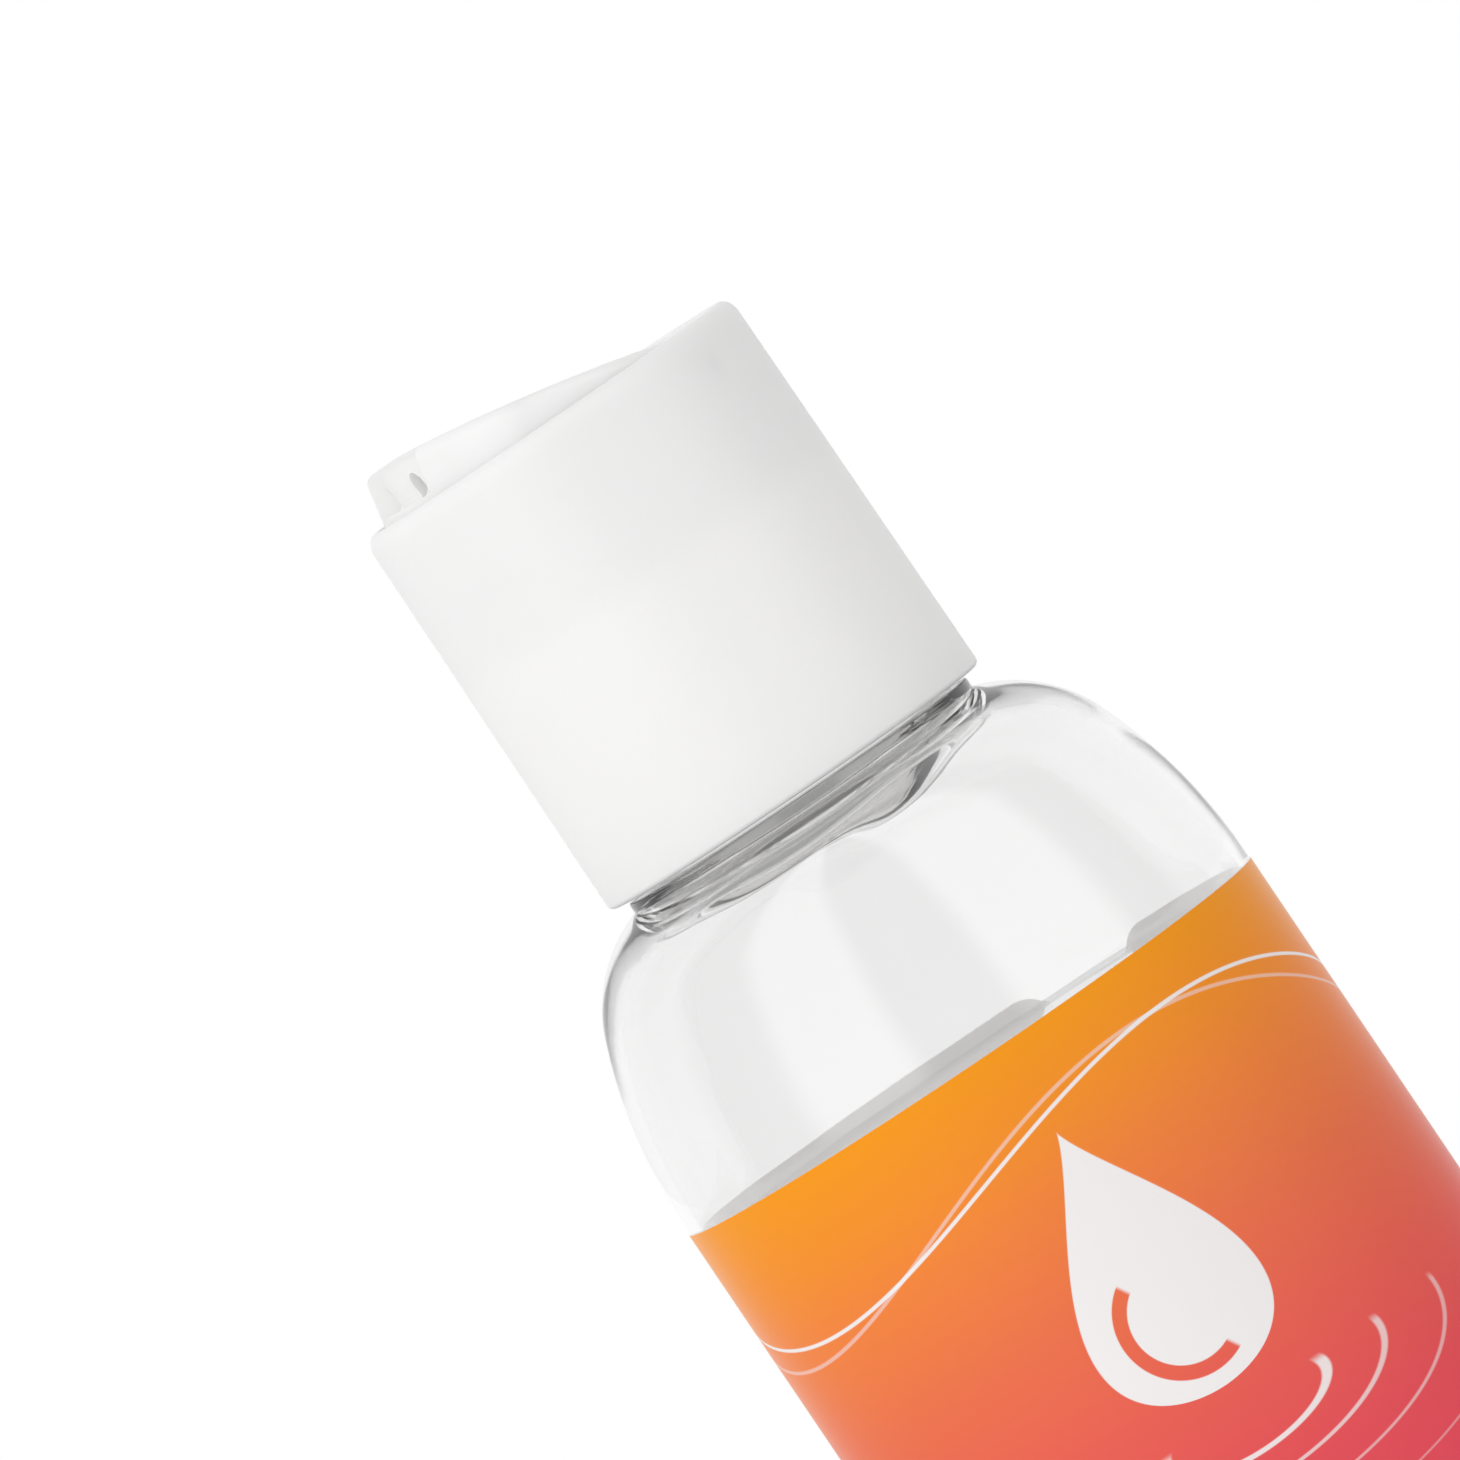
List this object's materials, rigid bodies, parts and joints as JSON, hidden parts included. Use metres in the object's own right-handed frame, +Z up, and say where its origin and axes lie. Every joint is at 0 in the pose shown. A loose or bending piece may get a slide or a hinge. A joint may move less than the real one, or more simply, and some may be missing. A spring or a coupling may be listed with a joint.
{
  "type": "lubricant bottle",
  "caption": "Clear round squeeze bottle of gel with a wrap-around label and a white screw cap whose disc tilts to open the nozzle.",
  "frame": {"origin": "centre of the ring that the bottle stands on, on the bottle's axis", "axes": "+Z up along the bottle's axis; the middle of the label's front faces -Y; the nozzle points to -X and a little to -Y"},
  "size_m": [0.0448, 0.0448, 0.1604],
  "materials": {
    "clear_plastic": "gloss",
    "clear_gel": "gloss",
    "label_film": "satin",
    "white_cap": "satin",
    "white_disc": "satin",
    "seal_foam": "matte"
  },
  "bodies": {
    "bottle": {"bottle": "clear_plastic", "gel": "clear_gel", "label": "label_film"},
    "seal": {"liner": "seal_foam"},
    "cap": {"cap_shell": "white_cap"},
    "disc": {"disc": "white_disc"}
  },
  "joints": [
    {"name": "cap_rise", "type": "slide", "parent": "bottle", "child": "seal", "axis": [0, 0, 1], "range_m": [0, 0.01906]},
    {"name": "cap_turn", "type": "hinge", "parent": "seal", "child": "cap", "pos_m": [0, 0, 0.1446], "axis": [0, 0, 1], "range_deg": [0, 2160]},
    {"name": "disc_tilt", "type": "hinge", "parent": "cap", "child": "disc", "pos_m": [0.00556, 0.00225, 0.1539], "axis": [0.3746, -0.9272, 0], "range_deg": [0, 12]}
  ],
  "couplings": [
    {"joint": "cap_rise", "follows": "cap_turn", "m_per_rad": 0.00050532}
  ]
}
